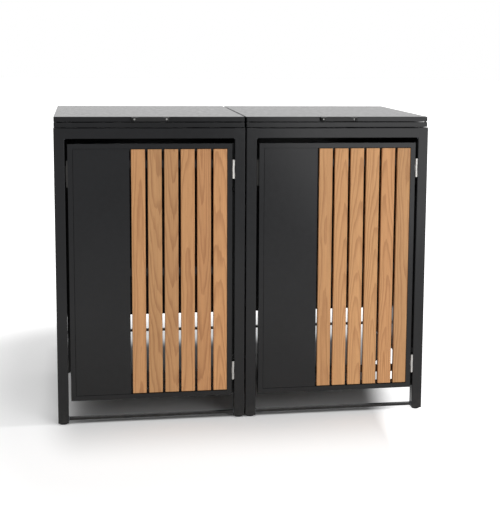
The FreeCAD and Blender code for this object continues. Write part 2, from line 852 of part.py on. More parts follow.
def panel_rivets(x_left):
    rivets = [rivet(place) for place in side_rivets(x_left) + rear_rivets(x_left)]
    return rivets + [mirror_in_module(piece, x_left) for piece in rivets]


def door_post_leaves(x_left):
    leaf = hinge_leaf(door_hinge_length, door_hinge_leaf, 1, 1, False)
    return at_door_hinges(leaf, x_left)


def lid_frame_leaves(x_left):
    leaf = hinge_leaf(lid_hinge_length, lid_hinge_leaf, 1, 1, False)
    return at_lid_hinges(leaf, x_left)


def build_shared():
    save("foot_glides", gather(foot_glides))
    save("panel_rivets", gather(panel_rivets))
    save("ring_spacers", gather(ring_spacers))
    save("lid_buffers", gather(lid_buffers))
    save("door_hinge_post_leaves", gather(door_post_leaves))
    save("door_hinge_pins", gather(lambda x: at_door_hinges(hinge_pin(door_hinge_length), x)))
    save("lid_hinge_frame_leaves", gather(lid_frame_leaves))
    save("lid_hinge_pins", gather(lambda x: at_lid_hinges(hinge_pin(lid_hinge_length), x)))
    save("magnetic_catches", gather(lambda x: [magnetic_catch(x)]))
    save("joining_bolts", joining_bolts())


def report_motion():
    """Print what the joints need and how far the pistons travel."""
    rest_length, rest_axis = strut_line()
    open_length, open_axis = strut_line(lid_open_angle)
    turn = math.degrees(math.atan2(open_axis[2], open_axis[1]) -
                        math.atan2(rest_axis[2], rest_axis[1]))
    tube_end = strut_cylinder_start + strut_cylinder_length
    inside_shut = strut_rod_length - (rest_length - tube_end)
    inside_open = strut_rod_length - (open_length - tube_end)
    print("strut travel", round(open_length - rest_length, 3), "mm, turn", round(turn, 3), "deg")
    print("rod inside tube", round(inside_shut, 2), "shut,", round(inside_open, 2), "open, of",
          strut_cylinder_length - strut_cylinder_bottom)
    print("strut lower pivot", strut_lower_pivot(), "axis", rest_axis)
    print("door axis y", door_axis_y, "x", [door_axis_x(module_left(i)) for i in range(2)])
    print("lid axis", lid_axis_y, lid_axis_z, "front", front_y, "rear", rear_y, "top", lid_top)


os.makedirs("parts", exist_ok=True)
for module_index in range(len(module_names)):
    build_module(module_index)
build_shared()
report_motion()
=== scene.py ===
"""Looks of a double wheelie bin store: finishes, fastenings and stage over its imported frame."""

import json
import math

import bmesh
import bpy
from bpy.props import FloatProperty, FloatVectorProperty, PointerProperty
from mathutils import Matrix, Vector


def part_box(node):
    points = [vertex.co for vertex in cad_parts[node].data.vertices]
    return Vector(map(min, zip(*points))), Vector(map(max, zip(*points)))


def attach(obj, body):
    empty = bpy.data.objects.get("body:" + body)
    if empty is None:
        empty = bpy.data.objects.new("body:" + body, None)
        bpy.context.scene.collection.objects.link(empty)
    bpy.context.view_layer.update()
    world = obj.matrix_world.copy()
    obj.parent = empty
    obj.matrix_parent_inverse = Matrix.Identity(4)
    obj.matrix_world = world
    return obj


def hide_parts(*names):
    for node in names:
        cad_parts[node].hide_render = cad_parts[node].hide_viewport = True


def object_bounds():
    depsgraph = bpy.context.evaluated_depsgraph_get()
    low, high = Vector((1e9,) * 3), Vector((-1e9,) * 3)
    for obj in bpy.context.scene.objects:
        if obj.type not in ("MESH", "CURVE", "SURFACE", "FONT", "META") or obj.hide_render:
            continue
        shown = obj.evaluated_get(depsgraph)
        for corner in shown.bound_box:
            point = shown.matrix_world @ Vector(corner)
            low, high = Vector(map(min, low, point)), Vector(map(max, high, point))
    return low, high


bl_info = {
    "name": "Wheelie bin store",
    "version": (1, 0, 0),
    "blender": (4, 5, 0),
    "location": "3D View > Sidebar > Bin store",
    "description": "Dresses the frame of a double wheelie bin store",
    "category": "Object",
}

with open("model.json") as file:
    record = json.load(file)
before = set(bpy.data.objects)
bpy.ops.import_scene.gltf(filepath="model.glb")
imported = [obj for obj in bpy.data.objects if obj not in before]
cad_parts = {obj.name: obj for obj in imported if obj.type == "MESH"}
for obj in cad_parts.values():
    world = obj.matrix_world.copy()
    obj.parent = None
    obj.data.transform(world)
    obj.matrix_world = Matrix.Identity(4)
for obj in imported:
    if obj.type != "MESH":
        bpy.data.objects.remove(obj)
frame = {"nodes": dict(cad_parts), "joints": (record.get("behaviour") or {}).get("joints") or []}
nodes = frame["nodes"]
cad_box = [list(corner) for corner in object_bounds()]

MODULES = ("left_module", "right_module")
SLATS = 6
RIGHT, FRONT, REAR, UP = (1.0, 0.0, 0.0), (0.0, -1.0, 0.0), (0.0, 1.0, 0.0), (0.0, 0.0, 1.0)
WHITE = (1.0, 1.0, 1.0, 1.0)
COATED = (
    "_left_side_frame", "_right_side_frame", "_header_rail", "_rear_top_rail", "_front_tie_bar",
    "_rear_stop_rail", "_left_side_panel", "_right_side_panel", "_rear_panel", "_top_ring",
    "_door_frame", "_door_panel", "_lid_tray",
)


def node_box(module, name):
    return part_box(module + "_" + name)


# Layout of the doors, which the timber and the strike plates follow
slat_low, slat_high = node_box(MODULES[0], "door_slat_1")
LEFT_END = node_box(MODULES[0], "left_side_frame")[0].x
MODULE_PITCH = round(node_box(MODULES[1], "door_slat_1")[0].x - slat_low.x, 5)
SLAT_PITCH = round(node_box(MODULES[0], "door_slat_2")[0].x - slat_low.x, 5)
FIRST_SLAT = round((slat_low.x + slat_high.x - SLAT_PITCH) / 2.0, 5)
# Reach of the painted shade on the strike plates, from each module's left end
CATCH_SIDE = 0.3


# Node trees
class Tree:
    """Short way to add and join the nodes of one tree."""

    def __init__(self, tree):
        self.tree = tree

    def add(self, kind, inputs=None, **settings):
        node = self.tree.nodes.new(kind)
        for name, value in settings.items():
            setattr(node, name, value)
        for key, value in (inputs or {}).items():
            self.put(node.inputs[key], value)
        return node

    def put(self, socket, value):
        if isinstance(value, bpy.types.Node):
            value = value.outputs[0]
        if isinstance(value, bpy.types.NodeSocket):
            self.tree.links.new(value, socket)
        else:
            socket.default_value = value

    def math(self, operation, a, b=0.0):
        return self.add("ShaderNodeMath", {0: a, 1: b}, operation=operation).outputs[0]

    def plus(self, a, b):
        return self.math("ADD", a, b)

    def minus(self, a, b):
        return self.math("SUBTRACT", a, b)

    def times(self, a, b):
        return self.math("MULTIPLY", a, b)

    def vector(self, operation, a, b=(0.0, 0.0, 0.0), out=0):
        return self.add("ShaderNodeVectorMath", {0: a, 1: b}, operation=operation).outputs[out]

    def xyz(self, x=0.0, y=0.0, z=0.0):
        return self.add("ShaderNodeCombineXYZ", {0: x, 1: y, 2: z}).outputs[0]

    def parts(self, vector):
        return self.add("ShaderNodeSeparateXYZ", {0: vector}).outputs

    def noise(self, vector, scale, detail=2.0, roughness=0.5):
        return self.add("ShaderNodeTexNoise", {
            "Vector": vector, "Scale": scale, "Detail": detail, "Roughness": roughness}).outputs[0]

    def streaks(self, vector, scale, detail, roughness=0.5):
        """Noise drawn out along the axes that have the smaller scales."""
        return self.noise(self.vector("MULTIPLY", vector, scale), 1.0, detail, roughness)

    def span(self, value, low, high, to_low=0.0, to_high=1.0):
        """Value carried smoothly from one range to another, held at its ends."""
        return self.add("ShaderNodeMapRange", {
            0: value, 1: low, 2: high, 3: to_low, 4: to_high},
            interpolation_type="SMOOTHSTEP").outputs[0]


class Shader(Tree):
    """Node material with one Principled shader, patterned on Object coordinates."""

    def __init__(self, name):
        self.material = bpy.data.materials.new(name)
        self.material.use_nodes = True
        self.material.node_tree.nodes.clear()
        super().__init__(self.material.node_tree)
        self.shader = self.add("ShaderNodeBsdfPrincipled")
        self.add("ShaderNodeOutputMaterial", {"Surface": self.shader})
        self.place = self.add("ShaderNodeTexCoord").outputs["Object"]

    def surface(self, **values):
        for name, value in values.items():
            self.put(self.shader.inputs[name.replace("_", " ")], value)

    def mix(self, factor, a, b, blend="MIX"):
        return self.add("ShaderNodeMix", {0: factor, 6: a, 7: b}, data_type="RGBA",
                        blend_type=blend).outputs[2]

    def edges(self, radius, low, high):
        """1 on the edges of the shape and 0 on its flat faces."""
        bevel = self.add("ShaderNodeBevel", {"Radius": radius}, samples=4)
        plain = self.add("ShaderNodeNewGeometry").outputs["Normal"]
        facing = self.vector("DOT_PRODUCT", bevel, plain, out=1)
        return self.span(self.minus(1.0, facing), low, high)

    def bump(self, height, distance, strength, **below):
        return self.add("ShaderNodeBump", {
            "Height": height, "Distance": distance, "Strength": strength, **below}).outputs[0]


def rgba(colour, share=1.0):
    """Socket value of a colour at a share of its brightness."""
    return tuple(part * share for part in colour[:3]) + (1.0,)


def dress(finish, *names):
    """Gives CAD nodes their material; a name that starts with _ is in both modules."""
    for name in names:
        for module in MODULES if name.startswith("_") else ("",):
            mesh = nodes[module + name].data
            mesh.materials.clear()
            mesh.materials.append(finish)


# Settings
def length(name, description, default):
    return FloatProperty(name=name, description=description, default=default, min=0.0,
                         precision=5, subtype="DISTANCE", unit="LENGTH")


def colour(name, description, default):
    return FloatVectorProperty(name=name, description=description, default=default,
                               min=0.0, max=1.0, subtype="COLOR")


class BinStoreFinish(bpy.types.PropertyGroup):
    coat: colour("Coat", "Colour of the powder coat", (0.0088, 0.0091, 0.0102))
    coat_roughness: FloatProperty(name="Coat roughness", description="How matt the coat is",
                                  default=0.20, min=0.0, max=1.0, subtype="FACTOR")
    # Colour mixed into the lower coat: splashes of dirt near the ground, and painted reflection of
    # the floor up to 0.95 m
    dust_and_floor_reflection: colour("Dust", "Dust on the foot of the store", (0.09, 0.085, 0.078))
    timber_light: colour("Timber light", "Early wood of the slats", (0.545, 0.280, 0.120))
    timber_dark: colour("Timber dark", "Late wood of the slats", (0.30, 0.122, 0.044))
    timber_pore: colour("Timber pore", "Pores of the slats", (0.16, 0.065, 0.028))
    ring_spacing: length("Ring spacing", "Distance between growth rings", 0.0070)
    stainless: colour("Stainless", "Colour of hinges and plates", (0.40, 0.39, 0.375))
    zinc: colour("Zinc", "Colour of slat screws and rods", (0.60, 0.60, 0.60))
    black_paint: colour("Black paint", "Colour of bolts and tubes", (0.012, 0.012, 0.012))
    plastic: colour("Plastic", "Colour of handles and feet", (0.0065, 0.0065, 0.007))
    rubber: colour("Rubber", "Colour of buffers and seals", (0.013, 0.013, 0.013))


class BinStoreStage(bpy.types.PropertyGroup):
    floor: colour("Floor", "Colour of the floor", (0.87, 0.87, 0.87))
    key_power: FloatProperty(name="Key light", description="Softbox in front, to the right",
                             default=51.0, min=0.0, subtype="POWER", unit="POWER")
    sky: FloatProperty(name="Sky", description="Brightness overhead", default=1.32, min=0.0)


# Finishes
def powder_coat(finish):
    tree = Shader("anthracite_powder_coat")
    drift = tree.noise(tree.place, 2.6, 3.0)
    mottle = tree.noise(tree.place, 45.0, 4.0, 0.62)
    peel = tree.noise(tree.place, 620.0, 2.0, 0.45)
    grain = tree.noise(tree.place, 2600.0, 1.0)
    # Edges lightened: partly worn coat, partly painted highlight along the edges
    wear_and_highlight = tree.times(tree.edges(0.0016, 0.06, 0.30), tree.span(mottle, 0.42, 0.62, 0.25, 1.0))
    shade = tree.mix(tree.span(drift, 0.30, 0.70), rgba(finish.coat, 0.88), rgba(finish.coat, 1.16))
    shade = tree.mix(tree.span(mottle, 0.35, 0.75, 0.0, 0.30), shade, rgba(finish.coat, 1.5))
    shade = tree.mix(tree.times(wear_and_highlight, 0.55), shade, rgba(finish.coat, 4.0))
    height = tree.parts(tree.place)[2]
    # Painted reflection of the bright floor: from 0.95 m down to 0.10 m the coat is mixed ever more
    # towards a pale grey; below 0.09 m mottled splashes of real dirt are added
    splash = tree.times(tree.span(height, 0.09, 0.0, 0.0, 0.14), tree.span(mottle, 0.35, 0.6))
    dust_and_floor_reflection = tree.plus(tree.span(height, 0.95, 0.10, 0.0, 0.11), splash)
    shade = tree.mix(dust_and_floor_reflection, shade, rgba(finish.dust_and_floor_reflection))
    matt = finish.coat_roughness
    rough = tree.span(mottle, 0.25, 0.75, matt - 0.03, matt + 0.03)
    rough = tree.minus(rough, tree.times(wear_and_highlight, 0.08))
    relief = tree.bump(grain, 0.000012, 0.5, Normal=tree.bump(peel, 0.00004, 0.6))
    tree.surface(Base_Color=shade, Roughness=rough, Specular_IOR_Level=0.14, Normal=relief)
    return tree.material


def oiled_timber(finish):
    """Flat-sawn boards: rings round a heart behind each slat, drawn out along its length."""
    tree = Shader("oiled_timber")
    x, y, z = tree.parts(tree.place)
    right = tree.math("GREATER_THAN", x, 0.0)
    along = tree.minus(tree.minus(x, FIRST_SLAT), tree.times(right, MODULE_PITCH))
    number = tree.math("FLOOR", tree.math("DIVIDE", along, SLAT_PITCH))
    middle = tree.times(tree.plus(number, 0.5), SLAT_PITCH)
    number = tree.plus(number, tree.times(right, SLATS + 1.0))
    chance = tree.add("ShaderNodeTexWhiteNoise", {"W": tree.times(number, 1.37)},
                      noise_dimensions="1D")
    one, two, three = tree.parts(chance.outputs["Color"])
    offset = tree.minus(along, middle)
    board = tree.xyz(tree.plus(offset, tree.times(number, 0.37)), y, z)
    sway = tree.streaks(board, (3.0, 3.0, 1.6), 2.0)
    wobble = tree.streaks(board, (34.0, 34.0, 4.0), 3.0)
    heart = tree.span(one, 0.0, 1.0, -0.020, 0.020)
    heart = tree.plus(heart, tree.span(sway, 0.2, 0.8, -0.016, 0.016))
    lean = tree.times(tree.minus(z, 0.6), tree.span(three, 0.0, 1.0, -0.055, 0.055))
    depth = tree.plus(tree.span(two, 0.0, 1.0, 0.022, 0.060), lean)
    depth = tree.plus(depth, tree.span(wobble, 0.2, 0.8, -0.003, 0.003))
    across = tree.math("POWER", tree.minus(offset, heart), 2.0)
    reach = tree.math("SQRT", tree.plus(across, tree.math("POWER", depth, 2.0)))
    ring = tree.math("FRACT", tree.math("DIVIDE", reach, finish.ring_spacing))
    late = tree.times(tree.span(ring, 0.38, 0.90), tree.span(ring, 1.0, 0.92))
    fibre = tree.streaks(board, (520.0, 520.0, 7.0), 4.0, 0.6)
    flame = tree.streaks(board, (70.0, 70.0, 3.0), 3.0)
    pore = tree.span(tree.streaks(board, (1500.0, 1500.0, 42.0), 1.0), 0.66, 0.74)
    light, dark = finish.timber_light, finish.timber_dark
    shade = tree.mix(tree.times(late, 0.54), rgba(light), rgba(dark))
    shade = tree.mix(tree.span(fibre, 0.38, 0.72, 0.0, 0.34), shade, rgba(dark))
    shade = tree.mix(tree.span(flame, 0.42, 0.75, 0.0, 0.30), shade, rgba(light, 1.22))
    shade = tree.mix(tree.times(pore, 0.35), shade, rgba(finish.timber_pore))
    warmth = tree.mix(one, (1.03, 0.965, 0.92, 1.0), (0.985, 1.02, 1.01, 1.0))
    brightness = tree.mix(three, rgba(WHITE, 0.86), rgba(WHITE, 1.10))
    shade = tree.mix(1.0, tree.mix(1.0, shade, warmth, "MULTIPLY"), brightness, "MULTIPLY")
    rough = tree.span(fibre, 0.3, 0.7, 0.46, 0.64)
    relief = tree.minus(tree.plus(fibre, tree.times(late, 0.6)), tree.times(pore, 0.9))
    tree.surface(Base_Color=shade, Roughness=rough, Specular_IOR_Level=0.35,
                 Normal=tree.bump(relief, 0.00022, 0.7))
    return tree.material


def brushed_steel(name, base, direction, roughness, plates=False):
    """Bare steel with fine brush lines; with plates, darkened nearly black on the doors' catch side
    as painted shade of the door gap.
    """
    tree = Shader(name)
    lines = tree.streaks(tree.place, direction, 3.0, 0.6)
    cloud = tree.noise(tree.place, 70.0, 3.0)
    shade = tree.mix(tree.span(lines, 0.3, 0.7), rgba(base, 0.86), rgba(base, 1.08))
    shade = tree.mix(tree.span(cloud, 0.5, 0.8, 0.0, 0.35), shade, rgba(base, 0.7))
    if plates:
        # Painted shade: fittings within reach of each module's left end, in the door gap, turn
        # nearly black
        x = tree.minus(tree.parts(tree.place)[0], LEFT_END)
        gap_shade = tree.math("LESS_THAN", tree.math("MODULO", x, MODULE_PITCH), CATCH_SIDE)
        shade = tree.mix(gap_shade, shade, tree.mix(cloud, rgba(base, 0.08), rgba(base, 0.16)))
    rough = tree.plus(tree.span(lines, 0.25, 0.75, roughness - 0.07, roughness + 0.07),
                      tree.span(cloud, 0.3, 0.7, -0.03, 0.05))
    tree.surface(Base_Color=shade, Metallic=1.0, Roughness=rough,
                 Normal=tree.bump(lines, 0.00004, 0.6))
    return tree.material


def moulded(name, base, grain_scale, roughness, depth, gloss):
    """Black plastic, rubber or paint: fine grain, scuffed lighter on its edges."""
    tree = Shader(name)
    grain = tree.noise(tree.place, grain_scale, 3.0, 0.55)
    cloud = tree.noise(tree.place, 40.0, 3.0)
    scuff = tree.times(tree.edges(0.0010, 0.05, 0.35), tree.span(cloud, 0.4, 0.6, 0.3, 1.0))
    shade = tree.mix(tree.span(cloud, 0.3, 0.7), rgba(base, 0.8), rgba(base, 1.3))
    shade = tree.mix(tree.times(scuff, 0.5), shade, rgba(base, 4.5))
    rough = tree.span(grain, 0.3, 0.7, roughness - 0.06, roughness + 0.06)
    tree.surface(Base_Color=shade, Roughness=rough, Specular_IOR_Level=gloss,
                 Normal=tree.bump(grain, depth, 0.6))
    return tree.material


class BINSTORE_OT_coat(bpy.types.Operator):
    """Powder coat on the steel frame, panels, doors and lids"""

    bl_idname = "binstore.coat"
    bl_label = "Powder coat"

    def execute(self, context):
        dress(powder_coat(context.scene.binstore_finish), *COATED)
        return {"FINISHED"}


class BINSTORE_OT_timber(bpy.types.Operator):
    """Oiled timber on the slats"""

    bl_idname = "binstore.timber"
    bl_label = "Timber slats"

    def execute(self, context):
        dress(oiled_timber(context.scene.binstore_finish), *[
            "_door_slat_%d" % (number + 1) for number in range(SLATS)])
        return {"FINISHED"}


class BINSTORE_OT_small_parts(bpy.types.Operator):
    """Bare steel, black paint, plastic and rubber on the small parts"""

    bl_idname = "binstore.small_parts"
    bl_label = "Small parts"

    def execute(self, context):
        finish = context.scene.binstore_finish
        upright, even = (1500.0, 1500.0, 30.0), (260.0, 260.0, 260.0)
        steel = brushed_steel("stainless_steel", finish.stainless, upright, 0.34)
        # Door fittings: stainless with painted shade on the strike plates
        fittings = brushed_steel("door_fittings_steel", finish.stainless, upright, 0.34,
                                 plates=True)
        zinc = brushed_steel("bright_steel", finish.zinc, even, 0.30)
        paint = moulded("black_paint", finish.black_paint, 900.0, 0.30, 0.00006, 0.5)
        plastic = moulded("black_plastic", finish.plastic, 1400.0, 0.42, 0.00008, 0.22)
        rubber = moulded("black_rubber", finish.rubber, 700.0, 0.72, 0.00010, 0.3)
        dress(steel, "door_hinge_post_leaves", "door_hinge_pins", "lid_hinge_frame_leaves",
              "lid_hinge_pins", "_lid_hinge_leaves")
        dress(fittings, "_door_fittings")
        dress(zinc, "_slat_screws", "_strut_rods")
        dress(paint, "panel_rivets", "joining_bolts", "_strut_cylinders")
        dress(plastic, "foot_glides", "ring_spacers", "magnetic_catches", "_lid_handle")
        dress(rubber, "lid_buffers")
        return {"FINISHED"}


# Geometry
def add_piece(name, mesh, body, slot, *replaced):
    """Makes a mesh a piece that rides on a body, in place of the CAD nodes named."""
    mesh.name = name
    piece = bpy.data.objects.new(name, mesh)
    bpy.context.scene.collection.objects.link(piece)
    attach(piece, body)
    if replaced:
        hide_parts(*replaced)


class Shape(Tree):
    """Geometry Nodes tree: named inputs first, Realize Instances and Set Material last."""

    def __init__(self, name, finish, **sizes):
        super().__init__(bpy.data.node_groups.new(name, "GeometryNodeTree"))
        self.finish = bpy.data.materials[finish]
        face = self.tree.interface
        face.new_socket("Geometry", in_out="INPUT", socket_type="NodeSocketGeometry")
        for label, value in sizes.items():
            socket = face.new_socket(label.capitalize(), in_out="INPUT",
                                     socket_type="NodeSocketFloat")
            socket.default_value = value
            socket.subtype = "DISTANCE"
        face.new_socket("Geometry", in_out="OUTPUT", socket_type="NodeSocketGeometry")
        self.given = self.add("NodeGroupInput").outputs
        self.sizes = sizes
        self.inputs = [self.given[label.capitalize()] for label in sizes]

    def turned(self, segments, radius, height, steps):
        """Solid of stacked rings: a base cylinder, then (rise, scale) steps on its top."""
        base = self.add("GeometryNodeMeshCylinder", {
            "Vertices": segments, "Radius": radius, "Depth": height}, fill_type="NGON")
        mesh = self.raised(base, self.times(height, 0.5))
        top = base.outputs["Top"]
        for rise, scale in steps:
            pushed = self.add("GeometryNodeExtrudeMesh", {
                "Mesh": mesh, "Selection": top, "Offset Scale": rise, "Individual": False},
                mode="FACES")
            top = pushed.outputs["Top"]
            mesh = self.add("GeometryNodeScaleElements", {
                "Geometry": pushed, "Selection": top, "Scale": scale})
        return mesh

    def cut(self, shape, *tools):
        node = self.add("GeometryNodeMeshBoolean", {0: shape}, operation="DIFFERENCE")
        for tool in tools:
            self.put(node.inputs[1], tool)
        return node

    def joined(self, *shapes):
        node = self.add("GeometryNodeJoinGeometry")
        for shape in reversed(shapes):
            self.put(node.inputs[0], shape)
        return node

    def raised(self, shape, rise, turn=(0.0, 0.0, 0.0)):
        return self.add("GeometryNodeTransform", {
            0: shape, "Translation": self.xyz(z=rise), "Rotation": turn})

    def slab(self, x, y, z):
        return self.add("GeometryNodeMeshCube", {"Size": self.xyz(x, y, z)})

    def creased(self, shape, angle):
        """Smooth shading with the sharper edges left sharp."""
        smooth = self.add("GeometryNodeSetShadeSmooth", {0: shape})
        bend = self.add("GeometryNodeInputMeshEdgeAngle").outputs[0]
        sharp = self.add("FunctionNodeCompare", {0: bend, 1: angle}, operation="GREATER_THAN")
        return self.add("GeometryNodeSetShadeSmooth", {
            0: smooth, "Selection": sharp, "Shade Smooth": False}, domain="EDGE")

    def placed(self, shape, spin):
        """The shape on every point, its Z along the point's aim, turned by a chance angle."""
        aim = self.add("GeometryNodeInputNamedAttribute", {"Name": "aim"},
                       data_type="FLOAT_VECTOR")
        turn = self.add("FunctionNodeAlignRotationToVector", {"Vector": aim}, axis="Z")
        instances = self.add("GeometryNodeInstanceOnPoints", {
            "Points": self.given[0], "Instance": shape, "Rotation": turn})
        angle = self.add("FunctionNodeRandomValue", {2: 0.0, 3: spin, "Seed": 5},
                         data_type="FLOAT").outputs[1]
        return self.add("GeometryNodeRotateInstances", {
            0: instances, "Rotation": self.xyz(z=angle), "Local Space": True})

    def finished(self, shape):
        real = self.add("GeometryNodeRealizeInstances", {0: shape})
        painted = self.add("GeometryNodeSetMaterial", {0: real, "Material": self.finish})
        self.add("NodeGroupOutput", {0: painted})
        return self

    def fastening(self, shape, crease=0.6, spin=math.tau):
        """Ends the tree with the shape, creased, on every point."""
        return self.finished(self.placed(self.creased(shape, crease), spin))

    def made(self, name, carrier_mesh, body, slot, *replaced):
        """Runs the tree on a carrier mesh and leaves one plain piece that rides on a body."""
        carrier = bpy.data.objects.new(name + "_carrier", carrier_mesh)
        bpy.context.scene.collection.objects.link(carrier)
        modifier = carrier.modifiers.new("shape", "NODES")
        modifier.node_group = self.tree
        for item in self.tree.interface.items_tree:
            if item.in_out == "INPUT" and item.name.lower() in self.sizes:
                modifier[item.identifier] = self.sizes[item.name.lower()]
        graph = bpy.context.evaluated_depsgraph_get()
        mesh = bpy.data.meshes.new_from_object(carrier.evaluated_get(graph))
        carrier.modifiers.clear()
        bpy.data.objects.remove(carrier)
        if not mesh.polygons:
            raise RuntimeError("nothing was made for " + name)
        add_piece(name, mesh, body, slot, *replaced)


def points(places):
    """Mesh of loose points, each with the direction that its fastening faces."""
    mesh = bpy.data.meshes.new("places")
    mesh.from_pydata([place for place, aim in places], [], [])
    aims = mesh.attributes.new("aim", "FLOAT_VECTOR", "POINT")
    for index, (place, aim) in enumerate(places):
        aims.data[index].vector = aim
    return mesh


def paths(lines):
    """Mesh of open or closed lines of edges."""
    corners, edges = [], []
    for line, closed in lines:
        start = len(corners)
        corners.extend(line)
        edges.extend((start + i, start + i + 1) for i in range(len(line) - 1))
        if closed:
            edges.append((start + len(line) - 1, start))
    mesh = bpy.data.meshes.new("paths")
    mesh.from_pydata(corners, edges, [])
    return mesh


def loose_parts(name):
    """Vertex places of each separate solid of a CAD node, in the order of its mesh."""
    work = bmesh.new()
    work.from_mesh(nodes[name].data)
    bmesh.ops.remove_doubles(work, verts=work.verts, dist=1e-6)
    seen, parts = set(), []
    for first in work.verts:
        queue, part = [first], []
        while queue:
            vert = queue.pop()
            if vert not in seen:
                seen.add(vert)
                part.append(vert.co.copy())
                queue += [edge.other_vert(vert) for edge in vert.link_edges]
        if part:
            parts.append(part)
    work.free()
    return parts


def extent(part):
    """Lowest corner, middle and highest corner of the box round some places."""
    low = Vector([min(place[i] for place in part) for i in range(3)])
    high = Vector([max(place[i] for place in part) for i in range(3)])
    return low, (low + high) / 2.0, high


def solid_boxes(name):
    """Extent of each separate solid of a CAD node."""
    return [extent(part) for part in loose_parts(name)]


def rounded_block(work, low, high, rounding, segments):
    """Adds a block with rounded edges to a bmesh."""
    low, high = Vector(low), Vector(high)
    made = bmesh.ops.create_cube(work, size=1.0)["verts"]
    for vert in made:
        vert.co = Vector([low[i] + (vert.co[i] + 0.5) * (high[i] - low[i]) for i in range(3)])
    edges = list(dict.fromkeys(edge for vert in made for edge in vert.link_edges))
    bmesh.ops.bevel(work, geom=edges, offset=rounding, segments=segments, profile=0.5,
                    affect="EDGES")


def block_piece(name, work, slot, *replaced, smooth=False):
    """Turns a bmesh of blocks into a piece that rides on the frame."""
    mesh = bpy.data.meshes.new(name)
    work.to_mesh(mesh)
    work.free()
    if smooth:
        mesh.shade_smooth()
    mesh.materials.append(bpy.data.materials[slot])
    add_piece(name, mesh, "frame", slot, *replaced)


def head_places(name):
    """Middle of the outer face of each headed pin of a node, and the way that it faces."""
    found = []
    for part in loose_parts(name):
        low, middle, high = extent(part)
        best_score, best = 0.0, None
        for axis in range(3):
            for side, end in ((-1.0, low[axis]), (1.0, high[axis])):
                spot, aim = middle.copy(), Vector()
                spot[axis], aim[axis] = end, side
                flat = [place for place in part if abs(place[axis] - end) < 1e-5]
                score = len(flat) * max((place - spot).length for place in flat)
                if score > best_score:
                    best_score, best = score, (spot, aim)
        found.append(best)
    return sorted(found, key=lambda item: tuple(round(value, 5) for value in item[0]))


class BinStoreFastenings(bpy.types.PropertyGroup):
    rivet_radius: length("Rivet radius", "Flange of a blind rivet", 0.0040)
    rivet_height: length("Rivet height", "Dome of a blind rivet", 0.0015)
    screw_radius: length("Screw radius", "Head of a slat screw", 0.0040)
    screw_height: length("Screw height", "Head of a slat screw", 0.0018)
    recess_width: length("Recess width", "Width of a cross recess", 0.0009)
    leaf_screw_radius: length("Leaf screw radius", "Head of a hinge screw", 0.0031)
    leaf_screw_height: length("Leaf screw height", "How far a hinge screw stands out", 0.0004)
    handle_screw_radius: length("Handle screw radius", "Head of a handle screw", 0.0042)
    handle_screw_height: length("Handle screw height", "Head of a handle screw", 0.0034)
    bolt_radius: length("Bolt radius", "Half across the corners of a bolt head", 0.0065)
    bolt_head: length("Bolt head", "Height of a bolt head", 0.0045)
    washer_radius: length("Washer radius", "Spacer washer between the modules", 0.0100)
    buffer_rim: length("Buffer rim", "Thickness of a lid buffer's rim", 0.0010)
    housing_round: length("Housing rounding", "Edges of the magnet housings", 0.0016)
    pole_width: length("Pole width", "Steel pole of a magnetic catch", 0.0022)
    wiper_height: length("Wiper height", "Cap on the open end of a strut tube", 0.0042)
    bead_radius: length("Bead radius", "Weld bead", 0.0024)
    bead_pitch: length("Bead pitch", "Distance between the ripples of a weld", 0.0022)


def rivet_shape(sizes):
    """Domed rivet with a hollow where its pin broke off; its top is at the point."""
    tree = Shape("blind_rivet", "black_paint", radius=sizes.rivet_radius,
                 height=sizes.rivet_height)
    r, h = tree.inputs
    rise, sink = tree.times(h, 0.22), tree.times(h, -0.45)
    head = tree.turned(20, r, rise, (
        (rise, 0.95), (rise, 0.84), (rise, 0.62), (0.0, 0.55), (sink, 0.92), (0.0, 0.5)))
    return tree.fastening(tree.raised(head, tree.times(h, -1.0)))


def screw_shape(name, radius, height, recess, rounding, finish="bright_steel"):
    """Screw head with a cross recess; its top is at the point, its body below it."""
    tree = Shape(name, finish, radius=radius, height=height, recess=recess)
    r, h, width = tree.inputs
    rise = tree.times(h, rounding / 2.0)
    head = tree.turned(20, r, tree.times(h, 1.0 - rounding), ((rise, 0.93), (rise, 0.82)))
    reach, deep = tree.times(r, 1.15), tree.times(h, 1.2)
    first = tree.raised(tree.slab(reach, width, deep), h)
    second = tree.raised(tree.slab(width, reach, deep), h)
    head = tree.cut(head, first, second)
    return tree.fastening(tree.raised(head, tree.times(h, -1.0)), 0.7)


def bolt_shape(sizes, grip, gap):
    """Hexagon bolt along Z through both posts, with its nut and the washer between."""
    tree = Shape("joining_bolt", "black_paint", radius=sizes.bolt_radius, head=sizes.bolt_head,
                 grip=grip, gap=gap, washer=sizes.washer_radius)
    r, h, grip, gap, rim = tree.inputs
    hexagon = tree.turned(6, r, tree.times(h, 0.84), ((tree.times(h, 0.16), 0.90), (0.0, 0.80)))
    seat = tree.turned(24, tree.times(r, 1.18), tree.times(h, 0.16), ((0.0, 0.96),))
    half = tree.times(grip, 0.5)
    back = tree.times(half, -1.0)
    head = tree.raised(tree.joined(hexagon, seat), back, (math.pi, 0.0, 0.0))
    nut = tree.raised(tree.joined(hexagon, seat), half, (0.0, 0.0, 0.35))
    tip = tree.times(h, 0.12)
    shank = tree.turned(16, tree.times(r, 0.61), tree.plus(grip, h), ((tip, 0.86),))
    shank = tree.raised(shank, back)
    washer = tree.turned(28, rim, tree.times(gap, 0.86), ((tree.times(gap, 0.14), 0.97),))
    washer = tree.raised(washer, tree.times(gap, -0.5))
    return tree.fastening(tree.joined(head, nut, shank, washer), 0.5, 0.6)


